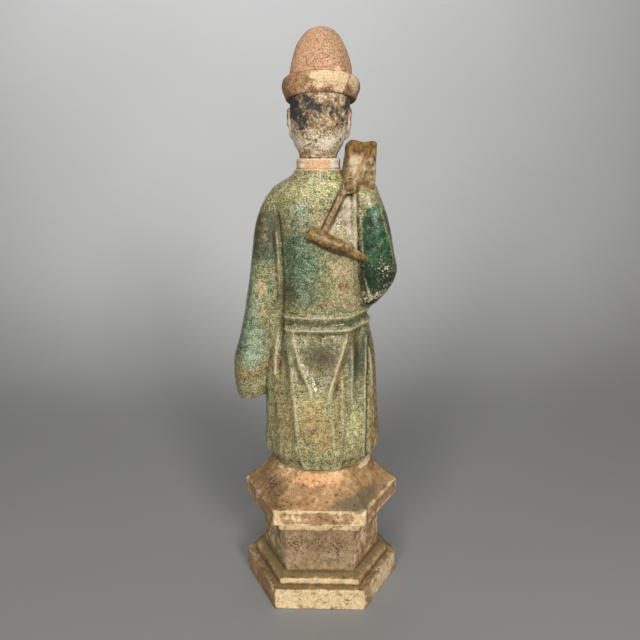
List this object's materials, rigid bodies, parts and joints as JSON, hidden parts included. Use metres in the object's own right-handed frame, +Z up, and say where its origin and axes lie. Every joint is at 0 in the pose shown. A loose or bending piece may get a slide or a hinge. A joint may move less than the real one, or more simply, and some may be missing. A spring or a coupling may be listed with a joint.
{
  "type": "sancai tomb figure",
  "caption": "Glazed earthenware attendant in a long belted robe, folding chair over one shoulder, standing on a tall hexagonal stand",
  "frame": {"origin": "middle of the stand's flat underside, at the level that it stands on", "axes": "+Z up the figure; the figure faces -Y; +X is the figure's own left, the side of the hanging sleeve"},
  "size_m": [0.1666, 0.14, 0.5452],
  "materials": {
    "painted_clay": "unglazed pinkish terracotta with worn black pigment and white slip, matte",
    "green_glaze": "crackled green lead glaze over buff clay, amber on the chair and trims, glossy where it is whole and worn elsewhere",
    "bare_clay": "unglazed buff earthenware, pitted and soiled, matte"
  },
  "bodies": {
    "root": {"head": "painted_clay", "robed_figure": "green_glaze", "plinth": "bare_clay"}
  },
  "joints": []
}
